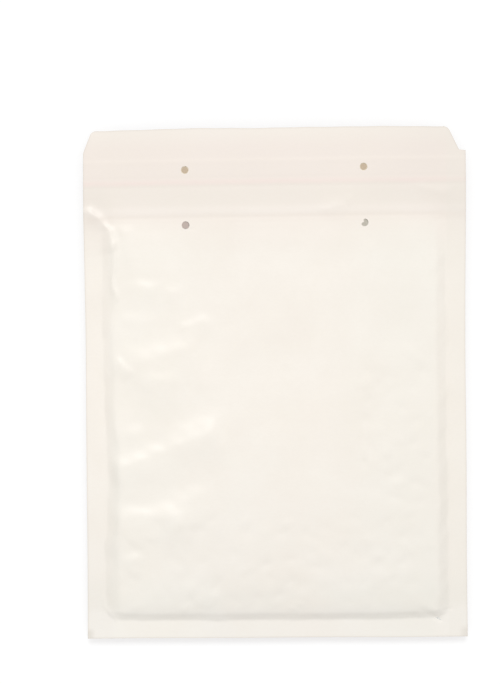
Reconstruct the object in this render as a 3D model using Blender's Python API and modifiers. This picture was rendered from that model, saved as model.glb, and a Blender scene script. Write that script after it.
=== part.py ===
"""A bubble-lined paper mailer, empty, lying on its back with its flap open.

Metres, +Z up. +X is to the right of the address side, +Y points to the flap.
The origin is under the middle of the mailer, on the surface that it lies on.
"""

import math

import bmesh
import bpy
from mathutils import Matrix, Vector

# Outside of the mailer, laid flat.
WIDTH = 0.240
POCKET_LENGTH = 0.274
FLAP_LENGTH = 0.046

# Flat margins where the two sides are heat-sealed to each other.
SIDE_SEAM = 0.0113
BOTTOM_SEAM = 0.0107

# Layers, and the pocket between the two linings.
PAPER = 0.0003
LINING = 0.0032
POCKET_GAP = 0.0046
LAYER_GAP = 0.0003

# The padded part: its sloping edge and its rounded lower corners.
SHOULDER = 0.006
PAD_CORNER = 0.010
LINING_RIM = 0.0012
LARGEST_RIM_SHARE = 1 / 3
RIM_ANGLE = math.radians(60)

# How far below the mouth each lining stops.
FRONT_LINING_SETBACK = 0.0075
BACK_LINING_SETBACK = 0.0015

# The flap sinks a little towards its free edge, and its sides lift off the seams.
FLAP_SAG = 0.0015
FLAP_LIFT_LENGTH = 0.024

# Die-cut corners of the flap. The right one leaves a small step at the side edge.
LEFT_CORNER_CUT = 0.0053
RIGHT_CORNER_CUT = 0.0072
RIGHT_CORNER_STEP = 0.0044
CORNER_CUT_LENGTH = 0.0134
CORNER_ROUND = 0.0025

# Saw-cut edge of the mouth, on the back sheet.
TOOTH_PITCH = 0.003
TOOTH_DEPTH = 0.001

# Punched holes: one pair in the flap, one pair through both sides below the mouth.
HOLE_DIAMETER = 0.005
HOLE_SPACING = 0.112
FLAP_HOLES_FROM_EDGE = 0.0255
POCKET_HOLES_FROM_MOUTH = 0.0145

# Strips under the flap, measured from its free edge.
STRIP_THICKNESS = 0.0002
ADHESIVE_FROM_EDGE = 0.0215
ADHESIVE_WIDTH = 0.009
LINER_FROM_EDGE = 0.0205
LINER_WIDTH = 0.011
LINER_SIDE_MARGIN = 0.004
ADHESIVE_SIDE_MARGIN = 0.008
TAPE_FROM_EDGE = 0.0325
TAPE_WIDTH = 0.0025
TAPE_SIDE_MARGIN = 0.0005

# How finely curved edges are drawn.
SHOULDER_STEPS = 6
PAD_CORNER_SHARES = (0.25, 0.5, 1.0)
INNER_LINE_SHARE = 1 / 3
LIFT_STEPS = 8
SAG_STEPS = 3
ROUND_STEPS = 4
HOLE_SIDES = 24
CUTTER_SPARE = 0.004

HALF_WIDTH = WIDTH / 2
TOTAL_LENGTH = POCKET_LENGTH + FLAP_LENGTH
BOTTOM_Y = -TOTAL_LENGTH / 2
TOP_Y = TOTAL_LENGTH / 2
MOUTH_Y = TOP_Y - FLAP_LENGTH

THICKNESS = 2 * (PAPER + LAYER_GAP + LINING) + POCKET_GAP
MIDDLE_Z = THICKNESS / 2
FRONT_SEAM_Z = MIDDLE_Z + LAYER_GAP / 2 + PAPER
BACK_SEAM_Z = MIDDLE_Z - LAYER_GAP / 2 - PAPER

PAD_HALF_WIDTH = HALF_WIDTH - SIDE_SEAM
PAD_BOTTOM_Y = BOTTOM_Y + BOTTOM_SEAM

PAPER_WHITE = (0.94, 0.90, 0.84)
FILM_CLEAR = (0.86, 0.88, 0.88)
GLUE_CLEAR = (0.88, 0.84, 0.72)
LINER_WHITE = (0.90, 0.88, 0.82)
TAPE_RED = (0.62, 0.03, 0.03)


def clear_scene():
    for thing in list(bpy.data.objects):
        bpy.data.objects.remove(thing)


def new_collection(name):
    collection = bpy.data.collections.new(name)
    bpy.context.scene.collection.children.link(collection)
    return collection


def surface_material(name, colour, roughness, alpha=1.0):
    material = bpy.data.materials.new(name)
    material.use_nodes = True
    shader = material.node_tree.nodes["Principled BSDF"]
    shader.inputs["Base Color"].default_value = (*colour, 1.0)
    shader.inputs["Roughness"].default_value = roughness
    shader.inputs["Metallic"].default_value = 0.0
    shader.inputs["Alpha"].default_value = alpha
    material.diffuse_color = (*colour, alpha)
    return material


def add_piece(collection, name, form, material):
    mesh = bpy.data.meshes.new(name)
    form.to_mesh(mesh)
    form.free()
    piece = bpy.data.objects.new(name, mesh)
    collection.objects.link(piece)
    mesh.materials.append(material)
    return piece


def smooth_step(share):
    share = min(max(share, 0.0), 1.0)
    return share * share * (3.0 - 2.0 * share)


def pad_inset(x, y):
    """How far a point lies inside the seams, round the pad's lower corners too."""
    side = PAD_HALF_WIDTH - abs(x)
    end = y - PAD_BOTTOM_Y
    if side < PAD_CORNER and end < PAD_CORNER:
        return PAD_CORNER - math.hypot(PAD_CORNER - side, PAD_CORNER - end)
    return min(side, end)


def front_height(x, y):
    """The address side's outer face: flat margins, a sloping shoulder, a level pad, the flap."""
    swell = smooth_step(pad_inset(x, y) / SHOULDER)
    pocket = FRONT_SEAM_Z + (THICKNESS - FRONT_SEAM_Z) * swell
    past_mouth = max(y - MOUTH_Y, 0.0)
    flap = THICKNESS - FLAP_SAG * (past_mouth / FLAP_LENGTH) ** 2
    lifted = smooth_step(past_mouth / FLAP_LIFT_LENGTH)
    return pocket + (flap - pocket) * lifted


def back_height(x, y):
    """The back's outer face: flat margins and a level pad that lies on the surface."""
    return BACK_SEAM_Z * (1.0 - smooth_step(pad_inset(x, y) / SHOULDER))


def evenly(start, end, steps):
    return [start + (end - start) * step / steps for step in range(steps + 1)]


def edge_insets():
    """Distances in from a seam for grid lines, close together on the shoulder."""
    round_corner = [SHOULDER + PAD_CORNER * share for share in PAD_CORNER_SHARES]
    return evenly(0.0, SHOULDER, SHOULDER_STEPS) + round_corner


def across_stations():
    """Grid lines across the width, close together on the shoulders."""
    half = [PAD_HALF_WIDTH - inset for inset in edge_insets()]
    half += [HALF_WIDTH + CUTTER_SPARE, PAD_HALF_WIDTH * INNER_LINE_SHARE]
    return sorted([-x for x in half] + half)


def along_stations(end, extra):
    """Grid lines from below the bottom edge to past the given end."""
    rows = [PAD_BOTTOM_Y + inset for inset in edge_insets()]
    rows += [BOTTOM_Y - CUTTER_SPARE, BOTTOM_Y + POCKET_LENGTH / 2, end + CUTTER_SPARE]
    return sorted(rows + extra)


def flap_stations():
    """Grid lines along the flap, close together where its sides lift."""
    lift_end = MOUTH_Y + FLAP_LIFT_LENGTH
    return evenly(MOUTH_Y, lift_end, LIFT_STEPS) + evenly(lift_end, TOP_Y, SAG_STEPS)[1:]


def stations_between(stations, low, high):
    """The grid lines that a narrower piece shares, with its own two edges."""
    return [low, *(place for place in stations if low < place < high), high]


def height_grid(across, along, height):
    """A grid primitive whose lines are moved to the stations and to the height there."""
    form = bmesh.new()
    columns = len(across) - 1
    rows = len(along) - 1
    bmesh.ops.create_grid(form, x_segments=columns, y_segments=rows, size=0.5)
    for point in form.verts:
        x = across[round((point.co.x + 0.5) * columns)]
        y = along[round((point.co.y + 0.5) * rows)]
        point.co = (x, y, height(x, y))
    return form


def thicken(piece, thickness, upwards):
    """Gives a surface its thickness, on the side away from its outer face."""
    solid = piece.modifiers.new("thickness", "SOLIDIFY")
    solid.thickness = thickness
    solid.offset = 1.0 if upwards else -1.0
    solid.use_even_offset = True


def cut(piece, cutter, operation):
    shape = piece.modifiers.new(operation.lower(), "BOOLEAN")
    shape.operation = operation
    shape.object = cutter
    shape.solver = "EXACT"


def hide_cutter(cutter):
    cutter.hide_render = True
    cutter.display_type = "WIRE"


def rounded_outline(corners):
    """A closed outline from corners given as (x, y, radius), each one rounded."""
    outline = []
    for index, (x, y, radius) in enumerate(corners):
        corner = Vector((x, y))
        if radius == 0.0:
            outline.append(corner)
            continue
        back = (Vector(corners[index - 1][:2]) - corner).normalized()
        ahead = (Vector(corners[(index + 1) % len(corners)][:2]) - corner).normalized()
        half_angle = back.angle(ahead) / 2
        centre = corner + (back + ahead).normalized() * (radius / math.sin(half_angle))
        first = corner + back * (radius / math.tan(half_angle)) - centre
        last = corner + ahead * (radius / math.tan(half_angle)) - centre
        begin = math.atan2(first.y, first.x)
        turn = math.remainder(math.atan2(last.y, last.x) - begin, math.tau)
        for step in range(ROUND_STEPS + 1):
            angle = begin + turn * step / ROUND_STEPS
            outline.append(centre + radius * Vector((math.cos(angle), math.sin(angle))))
    return outline


def outline_plate(collection, name, outline, low, high):
    """A flat plate between two heights, cut to a closed outline."""
    curve = bpy.data.curves.new(name, "CURVE")
    curve.dimensions = "2D"
    curve.fill_mode = "BOTH"
    curve.extrude = (high - low) / 2
    spline = curve.splines.new("POLY")
    spline.points.add(len(outline) - 1)
    for point, place in zip(spline.points, outline):
        point.co = (place[0], place[1], 0.0, 1.0)
    spline.use_cyclic_u = True
    drawn = bpy.data.objects.new(name, curve)
    drawn.location.z = (low + high) / 2
    collection.objects.link(drawn)
    bpy.context.view_layer.update()
    evaluated = drawn.evaluated_get(bpy.context.evaluated_depsgraph_get())
    mesh = bpy.data.meshes.new_from_object(evaluated)
    mesh.transform(drawn.matrix_world)
    bpy.data.objects.remove(drawn)
    form = bmesh.new()
    form.from_mesh(mesh)
    bmesh.ops.remove_doubles(form, verts=form.verts, dist=0.000001)
    bmesh.ops.recalc_face_normals(form, faces=form.faces)
    form.to_mesh(mesh)
    form.free()
    plate = bpy.data.objects.new(name, mesh)
    collection.objects.link(plate)
    return plate


def front_outline():
    """The address side with its flap, square below and with die-cut corners above."""
    cut_y = TOP_Y - CORNER_CUT_LENGTH
    return rounded_outline(
        [
            (-HALF_WIDTH, BOTTOM_Y, 0.0),
            (HALF_WIDTH, BOTTOM_Y, 0.0),
            (HALF_WIDTH, cut_y, 0.0),
            (HALF_WIDTH - RIGHT_CORNER_STEP, cut_y, 0.0),
            (HALF_WIDTH - RIGHT_CORNER_STEP - RIGHT_CORNER_CUT, TOP_Y, CORNER_ROUND),
            (-HALF_WIDTH + LEFT_CORNER_CUT, TOP_Y, CORNER_ROUND),
            (-HALF_WIDTH, cut_y, CORNER_ROUND),
        ]
    )


def back_outline():
    """The back side, square below and saw-cut along the mouth."""
    teeth = round(WIDTH / TOOTH_PITCH)
    outline = [(-HALF_WIDTH, BOTTOM_Y), (HALF_WIDTH, BOTTOM_Y)]
    for tooth in range(teeth):
        outline.append((HALF_WIDTH - WIDTH * tooth / teeth, MOUTH_Y))
        outline.append((HALF_WIDTH - WIDTH * (tooth + 0.5) / teeth, MOUTH_Y - TOOTH_DEPTH))
    outline.append((-HALF_WIDTH, MOUTH_Y))
    return outline


def make_punch(cutters):
    """Four pins where the holes go: two in the flap, two below the mouth."""
    form = bmesh.new()
    for row_y in (TOP_Y - FLAP_HOLES_FROM_EDGE, MOUTH_Y - POCKET_HOLES_FROM_MOUTH):
        for side in (-1, 1):
            place = (side * HOLE_SPACING / 2, row_y, MIDDLE_Z)
            bmesh.ops.create_cone(
                form,
                cap_ends=True,
                segments=HOLE_SIDES,
                radius1=HOLE_DIAMETER / 2,
                radius2=HOLE_DIAMETER / 2,
                depth=THICKNESS + 2 * CUTTER_SPARE,
                matrix=Matrix.Translation(place),
            )
    mesh = bpy.data.meshes.new("punch")
    form.to_mesh(mesh)
    form.free()
    punch = bpy.data.objects.new("punch", mesh)
    cutters.objects.link(punch)
    hide_cutter(punch)
    return punch


def make_front_sheet(parts, cutters, punch):
    along = along_stations(TOP_Y, flap_stations())
    form = height_grid(across_stations(), along, front_height)
    paper = surface_material("front_paper", PAPER_WHITE, 0.62)
    sheet = add_piece(parts, "front_sheet", form, paper)
    thicken(sheet, PAPER, upwards=False)
    reach = (-CUTTER_SPARE, THICKNESS + CUTTER_SPARE)
    outline = outline_plate(cutters, "front_outline", front_outline(), *reach)
    hide_cutter(outline)
    cut(sheet, outline, "INTERSECT")
    cut(sheet, punch, "DIFFERENCE")


def make_back_sheet(parts, cutters, punch):
    form = height_grid(across_stations(), along_stations(MOUTH_Y, []), back_height)
    paper = surface_material("back_paper", PAPER_WHITE, 0.62)
    sheet = add_piece(parts, "back_sheet", form, paper)
    thicken(sheet, PAPER, upwards=True)
    reach = (-CUTTER_SPARE, THICKNESS + CUTTER_SPARE)
    outline = outline_plate(cutters, "back_outline", back_outline(), *reach)
    hide_cutter(outline)
    cut(sheet, outline, "INTERSECT")
    cut(sheet, punch, "DIFFERENCE")


def make_lining(parts, punch, name, low, setback):
    """A pad of bubble film, within the level part of the paper that it backs."""
    half = PAD_HALF_WIDTH - SHOULDER
    bottom = PAD_BOTTOM_Y + SHOULDER
    top = MOUTH_Y - setback
    corners = [(-half, bottom, PAD_CORNER), (half, bottom, PAD_CORNER)]
    corners += [(half, top, 0.0), (-half, top, 0.0)]
    pad = outline_plate(parts, name, rounded_outline(corners), low, low + LINING)
    pad.data.materials.append(surface_material(name + "_film", FILM_CLEAR, 0.25, 0.6))
    soften = pad.modifiers.new("rim", "BEVEL")
    soften.width = min(LINING_RIM, LINING * LARGEST_RIM_SHARE)
    soften.segments = 2
    soften.limit_method = "ANGLE"
    soften.angle_limit = RIM_ANGLE
    cut(pad, punch, "DIFFERENCE")


def make_flap_strip(parts, punch, name, from_edge, width, margin, below, material):
    """A thin strip along the underside of the flap, at a clearance below the paper."""
    half = HALF_WIDTH - margin

    def height(x, y):
        return front_height(x, y) - PAPER - below

    across = stations_between(across_stations(), -half, half)
    along = stations_between(flap_stations(), TOP_Y - from_edge - width, TOP_Y - from_edge)
    strip = add_piece(parts, name, height_grid(across, along, height), material)
    thicken(strip, STRIP_THICKNESS, upwards=False)
    cut(strip, punch, "DIFFERENCE")


def make_mailer():
    clear_scene()
    parts = new_collection("bubble_mailer")
    cutters = new_collection("cutters")
    punch = make_punch(cutters)
    make_front_sheet(parts, cutters, punch)
    make_back_sheet(parts, cutters, punch)

    back_low = PAPER + LAYER_GAP
    front_low = THICKNESS - PAPER - LAYER_GAP - LINING
    make_lining(parts, punch, "back_lining", back_low, BACK_LINING_SETBACK)
    make_lining(parts, punch, "front_lining", front_low, FRONT_LINING_SETBACK)

    glue = surface_material("adhesive", GLUE_CLEAR, 0.3)
    liner = surface_material("liner", LINER_WHITE, 0.35)
    tape = surface_material("tape", TAPE_RED, 0.4)
    below_glue = 2 * LAYER_GAP + STRIP_THICKNESS
    make_flap_strip(
        parts, punch, "adhesive_strip", ADHESIVE_FROM_EDGE, ADHESIVE_WIDTH,
        ADHESIVE_SIDE_MARGIN, LAYER_GAP, glue,
    )
    make_flap_strip(
        parts, punch, "release_liner", LINER_FROM_EDGE, LINER_WIDTH,
        LINER_SIDE_MARGIN, below_glue, liner,
    )
    make_flap_strip(
        parts, punch, "tear_tape", TAPE_FROM_EDGE, TAPE_WIDTH,
        TAPE_SIDE_MARGIN, LAYER_GAP, tape,
    )


make_mailer()
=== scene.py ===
"""Looks of the bubble mailer: wrinkled paper, bubble film, strips and print, on the CAD frame."""

import math

import bmesh
import bpy
import numpy as np
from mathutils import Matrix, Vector


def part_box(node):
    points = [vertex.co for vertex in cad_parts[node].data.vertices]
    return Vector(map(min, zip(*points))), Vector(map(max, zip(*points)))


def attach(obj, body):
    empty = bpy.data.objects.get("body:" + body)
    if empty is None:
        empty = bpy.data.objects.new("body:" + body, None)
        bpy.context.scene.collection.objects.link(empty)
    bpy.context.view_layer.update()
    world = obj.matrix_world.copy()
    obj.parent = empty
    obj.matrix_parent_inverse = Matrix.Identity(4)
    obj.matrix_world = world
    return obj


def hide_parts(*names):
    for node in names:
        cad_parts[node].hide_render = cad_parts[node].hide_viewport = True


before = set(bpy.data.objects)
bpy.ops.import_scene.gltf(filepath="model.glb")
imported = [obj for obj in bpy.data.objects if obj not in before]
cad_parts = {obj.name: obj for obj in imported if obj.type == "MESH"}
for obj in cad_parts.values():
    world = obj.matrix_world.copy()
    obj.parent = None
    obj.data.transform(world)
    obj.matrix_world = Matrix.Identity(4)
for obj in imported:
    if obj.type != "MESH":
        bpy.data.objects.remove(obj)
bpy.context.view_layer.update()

# Shapes below are worked out in millimetres, and meshes are made in metres.
MM = 0.001

SHEET_LOW, SHEET_HIGH = (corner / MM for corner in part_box("front_sheet"))
BACK_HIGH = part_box("back_sheet")[1] / MM
LINING_LOW, LINING_HIGH = (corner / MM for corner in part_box("front_lining"))
BACK_LINING_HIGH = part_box("back_lining")[1] / MM

HALF_WIDTH = SHEET_HIGH.x
TOP = SHEET_HIGH.y
BOTTOM = SHEET_LOW.y
MOUTH = BACK_HIGH.y
THICKNESS = SHEET_HIGH.z
FRONT_SEAM = SHEET_LOW.z
BACK_SEAM = BACK_HIGH.z
SEAM_MIDDLE = (FRONT_SEAM + BACK_SEAM) / 2

PAPER = 0.3
FILM = 0.08
# Edges that turn more than this stay sharp.
PAPER_SHARP_FROM = math.radians(55)
FILM_SHARP_FROM = math.radians(60)

# Where the pad starts inside the sheets' edges, and the radius of its lower corners.
PAD_HALF = HALF_WIDTH - 11.3
PAD_BOTTOM = BOTTOM + 11.0
PAD_CORNER = 11.0
# The pad's cross-section: a steep slope from the seams, and then a low crown up to its level.
SLOPE_WIDTH = 6.5
UPPER_SLOPE_RISE = 3.4
LOWER_SLOPE_RISE = 4.1
BOTTOM_SLOPE_RISE = 2.45
BOTTOM_STEEPER = 1.62
LEFT_WIDER = 0.24
CROWN_REACH = 22.0
PAD_LEVEL = THICKNESS - 0.3

# How far below the top the flap lies, and how much further down its sides and its edge are.
FLAP_DROP = 1.3
FLAP_SIDE_DROP = 2.4
FLAP_EDGE_DROP = 1.0
# Where the sheets start to rise from the pocket to the flap, and over what length. The seams at
# the sides start that much earlier, and take that much longer.
LIFT_START = 84.0
LIFT_LENGTH = 38.0
SIDE_LIFT_EARLIER = 30.0
SIDE_LIFT_LONGER = 34.0

# Seeds of the wander of the seams' inner edges.
FRONT_SEAM_SEED = 3
BACK_SEAM_SEED = 4

# Cut edges of the paper: the flap's edge droops to the left, the bottom edge to the right.
BOTTOM_EDGE = BOTTOM - 0.1
BOTTOM_SLANT = 0.2
TOP_EDGE = TOP + 0.2
TOP_LEFT_DROP = 1.7
LEFT_WAIST = 0.75
RIGHT_WAIST = 0.85
LEFT_CUT_WIDTH = 5.3
LEFT_CUT_FOOT = 144.5
RIGHT_CUT_WIDTH = 7.0
RIGHT_STEP = 4.2
RIGHT_CUT_FOOT = 145.6
CUT_ROUND = 2.6
# Teeth of the mouth's saw-cut edge.
SAW_PITCH = 3.0
SAW_DEPTH = 1.0

HOLE_RADIUS = 2.4
GLUE_HOLE_RADIUS = 2.1
FILM_HOLE_RADIUS = 3.0
BACK_HOLE_RADIUS = 2.5
# A scrap of paper still hangs in the right pocket hole: its place round the hole, and its size.
SCRAP_ANGLE = math.radians(150)
SCRAP_SPREAD = math.radians(27)
SCRAP_REACH = 0.9
HOLE_SIDES = 36
HOLE_PATCH = 3.3
# The grids are finer across the holes, at both sides.
HOLE_BAND = (52.5, 59.5)
FLAP_HOLES = ((-56.2, 133.5), (55.7, 134.9))
POCKET_HOLES = ((-55.9, 98.9), (56.0, 99.9))
BACK_HOLES = ((-56.5, 99.4), (56.6, 100.4))
# The camera sees the floor through the flap's holes here, where the floor has a painted shade.
FLOOR_SPOTS = ((-56.6, 134.6), (56.4, 136.0))
FLOOR_SPOT_RADIUS = 2.7
FLOOR_SPOT_FADE = 1.15

# Lines across the address side, seen through the paper or pressed into it.
LINER_TOP = 139.4
LINER_BOTTOM = 128.9
TAPE_TOP = 127.5
TAPE_BOTTOM = 125.0
LINING_EDGE = 104.0
LINE_SLANT = 0.008

# Strips inside the flap: lower and upper edge, margin at the sides, gap to the paper, thickness.
GLUE_STRIP = (129.9, 138.6, 8.0, 0.05, 0.1)
LINER_STRIP = (LINER_BOTTOM, LINER_TOP, 4.0, 0.25, 0.15)
TAPE_STRIP = (TAPE_BOTTOM, TAPE_TOP, 0.4, 0.1, 0.15)
STRIP_SPACING = 0.8

# The films: their margins at the sides and below the pad, the spacing of their grids, the depth
# of their ragged ends, how far they stand off the pocket, and their least gap to the paper.
FILM_MARGIN = 3.0
FILM_BELOW_PAD = 6.0
FILM_SPACING = 3.0
FILM_RAGGED = 0.5
FILM_OFF_POCKET = 0.25
FILM_CLEARANCE = 0.1
# The films' bubbles stand in staggered rows, clear of the holes and a little below the paper.
BUBBLE_PITCH = 11.6
BUBBLE_ROW = BUBBLE_PITCH * math.sqrt(3) / 2
BUBBLE_RADIUS = 4.9
BUBBLE_DEPTH = 2.1
BUBBLE_LEAST_DEPTH = 0.2
BUBBLE_CLEARANCE = 0.25
BUBBLE_TO_HOLE = 2.6
BUBBLE_SIDES = 14
# A bubble's outline from the film to its top: shares of its radius and of its height.
BUBBLE_PROFILE = ((1.0, 0.0), (0.985, 0.45), (0.90, 0.78), (0.70, 0.95), (0.38, 1.0))

# The share of its height that a ridge has left at its ends.
CREASE_END = 0.08
# The sharpness of the folds. It is 1 for a soft ridge, and less for one with a sharper top.
FOLD_SHARPNESS = 0.75
# How much wider a pucker's side towards the bottom edge is.
PUCKER_LEAN = 3.0


def smooth(share):
    """A soft step: 0 up to 0, 1 from 1 on, and smooth in between."""
    share = np.clip(share, 0.0, 1.0)
    return share * share * (3.0 - 2.0 * share)


def bell(distance, width):
    """1 at no distance, fading to both sides."""
    return np.exp(-0.5 * (distance / width) ** 2)


def pad_inset(x, y):
    """How far a point lies inside the seams, round the pad's lower corners too."""
    lower_left = smooth(-x / 30.0) * smooth((-15.0 - y) / 40.0)
    side = (PAD_HALF - np.abs(x)) * (1.0 - LEFT_WIDER * lower_left)
    end = (y - PAD_BOTTOM) * BOTTOM_STEEPER
    corner = PAD_CORNER - np.hypot(PAD_CORNER - side, PAD_CORNER - end)
    in_corner = (side < PAD_CORNER) & (end < PAD_CORNER)
    return np.where(in_corner, corner, np.minimum(side, end))


def waves(x, y, seed, longest, shortest, count):
    """A gentle unevenness: a sum of sine waves of many directions, about 1 high."""
    draw = np.random.RandomState(seed)
    total = np.zeros_like(x)
    for _ in range(count):
        length = longest * (shortest / longest) ** draw.rand()
        angle = draw.rand() * math.tau
        phase = draw.rand() * math.tau
        along = x * math.cos(angle) + y * math.sin(angle)
        total += np.sin(along * math.tau / length + phase) * math.sqrt(length / longest)
    return total / math.sqrt(count)


def crease(x, y, points, height, width, sharp=1.0, lean=1.0):
    """A ridge, or a groove where height is below 0, along points and fading at its two ends.

    A lean above 1 makes the side towards the bottom edge that much wider than the other side.
    """
    nearest = np.full_like(x, 1e9)
    along_at = np.zeros_like(x)
    reached = 0.0
    for (x0, y0), (x1, y1) in zip(points, points[1:]):
        length = math.hypot(x1 - x0, y1 - y0)
        share = ((x - x0) * (x1 - x0) + (y - y0) * (y1 - y0)) / length**2
        share = np.clip(share, 0.0, 1.0)
        away = np.hypot(x - x0 - share * (x1 - x0), y - y0 - share * (y1 - y0))
        side = (x1 - x0) * (y - y0) - (y1 - y0) * (x - x0)
        below = side * np.sign(x1 - x0 + 1e-9) < 0.0
        away = np.where(below, away / lean, away)
        closer = away < nearest
        nearest = np.where(closer, away, nearest)
        along_at = np.where(closer, reached + share * length, along_at)
        reached += length
    fade = min(2.5 * width, reached / 2)
    ends = smooth(along_at / fade) * smooth((reached - along_at) / fade)
    ends = CREASE_END + (1.0 - CREASE_END) * ends
    return height * ends * np.exp(-((nearest / width) ** (2.0 * sharp)))


def dent(x, y, place, size, height, turn=0.0):
    """A small oval bump or hollow."""
    angle = math.radians(turn)
    across = (x - place[0]) * math.cos(angle) + (y - place[1]) * math.sin(angle)
    along = -(x - place[0]) * math.sin(angle) + (y - place[1]) * math.cos(angle)
    return height * np.exp(-0.5 * ((across / size[0]) ** 2 + (along / size[1]) ** 2))


# Puckers of the address side, in millimetres on the page: points, height, width.
FRONT_PUCKERS = (
    (((-112, -56), (-86, -48.5), (-70, -43), (-55, -37), (-42, -31.5), (-32, -26)), 1.5, 5.4),
    (((-110, -55.5), (-93, -50.5), (-76, -45)), 0.45, 3.6),
    (((-72, -36.5), (-52, -28.5), (-33, -21.5)), 0.8, 4.5),
    (((-98, -31.5), (-80, -29)), 0.75, 3.0),
    (((-112, -85.8), (-85, -84.8), (-69, -84.4), (-47, -86.0)), 1.75, 6.6),
    (((-80, -84), (-60, -76), (-38, -66)), 1.4, 6.5),
    (((-98, -109.8), (-82, -109.3)), 0.75, 2.8),
    (((-101.5, 16), (-88.5, 4.5)), 0.9, 1.8),
    (((-89, 0.5), (-55, 2)), 1.0, 5.2),
    (((-99, 10.5), (-77, 14.5), (-56, 21), (-41, 28)), 1.9, 8.0),
    (((-63, 33.5), (-51, 36.5), (-40, 42)), 0.7, 2.8),
    (((-94, 60), (-70, 60.3)), 0.8, 3.6),
    (((-72, 57), (-56, 57.6)), 0.65, 3.6),
    (((-99, 92), (-87, 93.5)), 0.7, 5.0),
    (((-90, 39), (-72, 40)), 0.3, 3.5),
    (((82, 15), (88, 22)), 0.3, 4.0),
    (((-95, -97), (-72, -96)), 0.3, 2.4),
    (((-98, 40), (-84, 42)), 0.35, 2.5),
)

# The fold at the left corner of the mouth: points, height, width, sharpness, lean.
CORNER_FOLD = (((-121, 109.5), (-110.5, 104), (-104, 96.5), (-102.3, 81)), 1.7, 2.6, 0.75, 2.2)

# Fold lines with a sharper top, and grooves where the height is below 0: points, height, width.
FRONT_FOLDS = (
    (((-100, 100.5), (-95.5, 96), (-93, 90)), 0.45, 3.0),
    (((-101.2, 90), (-100.4, 77), (-101.5, 66), (-101.2, 59), (-99.6, 51)), 0.7, 1.3),
    (((88, -142), (97.5, -147), (105, -151.5)), -0.5, 1.3),
    (((103.0, -143.5), (110, -143.9)), -0.3, 0.8),
    (((-110.5, -131), (-108, -141), (-100.5, -149)), 0.3, 0.9),
    (((-54.0, 97.4), (-51.0, 95.2)), -0.25, 0.5),
    (((24, 108.0), (36, 109.5), (49, 112)), 0.4, 4.4),
    (((46.8, 118), (47.2, 109.5)), 0.25, 1.2),
    (((86, 124.0), (94, 121.5), (102, 119.5), (112, 119)), 0.22, 2.4),
)

# Small random dents: seed, count, region (x low, x high, y low, y high), height.
FRONT_DENTS = (
    (21, 100, (-95, 60, -142, -85), 0.42),
    (22, 70, (53, 97, -137, 8), 0.38),
    (23, 45, (-96, 96, -85, 96), 0.14),
)
BACK_DENTS = (62, 120, (-98, 98, -138, 105), 0.18)

# How deep the bubbles press into the paper of the address side and of the back.
FRONT_PRINT_HEIGHT = 0.06
BACK_PRINT_HEIGHT = 0.1

# Lines along the flap and the mouth: height on the page, height of the line, width.
FLAP_LINES = (
    (LINER_TOP, 0.07, 0.9),
    ((TAPE_TOP + TAPE_BOTTOM) / 2, 0.05, 1.5),
    (TAPE_BOTTOM - 1.8, -0.07, 0.9),
)
LINING_GROOVE = (LINING_EDGE, -0.10, 0.9)
MOUTH_RIDGE = (LINING_EDGE + 3.9, 0.08, 1.6)


def random_dents(x, y, seed, count, region, height):
    """Small dents scattered over a region given as x low, x high, y low, y high."""
    draw = np.random.RandomState(seed)
    total = np.zeros_like(x)
    for _ in range(count):
        place = (
            region[0] + (region[1] - region[0]) * draw.rand(),
            region[2] + (region[3] - region[2]) * draw.rand(),
        )
        size = (1.6 + 2.4 * draw.rand(), 1.2 + 1.6 * draw.rand())
        signed = height * (0.4 + 0.6 * draw.rand()) * (1 if draw.rand() > 0.6 else -1)
        total += dent(x, y, place, size, signed, 180 * draw.rand())
    return total


def bubble_print(x, y, height):
    """Faint domes where the bubbles of the lining press against the paper."""
    dome_top, dome_side = 2.0, 3.4
    total = np.zeros_like(x)
    for shift in (0, 1):
        row = np.round((y / BUBBLE_ROW - shift) / 2) * 2 + shift
        offset = shift * BUBBLE_PITCH / 2
        centre_x = np.round((x - offset) / BUBBLE_PITCH) * BUBBLE_PITCH + offset
        away = np.hypot(x - centre_x, y - row * BUBBLE_ROW)
        total = np.maximum(total, 1.0 - smooth((away - dome_top) / dome_side))
    return height * total


def soft_ramp(distance, softness):
    """0 below 0 and the distance above it, with a rounded turn."""
    return np.logaddexp(0.0, distance / softness) * softness


def uneven_inset(x, y, seed):
    """The distance in from the seams, with the wander of a puckered edge.

    The pad's sides also swing inwards, the left one most of all a little below its middle.
    """
    inset = pad_inset(x, y)
    wander = 0.5 * waves(x, y, seed, 60, 13, 14) + 0.3 * waves(x, y, seed + 40, 20, 7, 8)
    near_side = smooth((np.abs(x) - 60.0) / 35.0)
    left = 1.7 * bell(y + 42.0, 28.0) + 0.5 * smooth((-55.0 - y) / 25.0)
    right = 1.0 + 0.3 * smooth((y + 10.0) / 40.0)
    wander = wander - near_side * np.where(x < 0.0, left, right)
    return inset + wander * bell(np.maximum(inset, 0.0), 12.0)


def pad_rise(inset, y):
    """How high the pad stands above its seams. Its slope is steeper on the lower half."""
    lower = smooth((20.0 - y) / 90.0)
    side_rise = UPPER_SLOPE_RISE + (LOWER_SLOPE_RISE - UPPER_SLOPE_RISE) * lower
    slope_rise = side_rise + (BOTTOM_SLOPE_RISE - side_rise) * bell(y - PAD_BOTTOM, 6.0)
    slope = soft_ramp(inset, 0.25) - soft_ramp(inset - SLOPE_WIDTH, 1.0)
    crown = 1.0 - np.exp(-np.maximum(inset - SLOPE_WIDTH + 1.5, 0.0) / CROWN_REACH)
    crown_height = PAD_LEVEL - FRONT_SEAM - PAPER - slope_rise
    return slope_rise / SLOPE_WIDTH * slope + crown_height * crown


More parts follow.
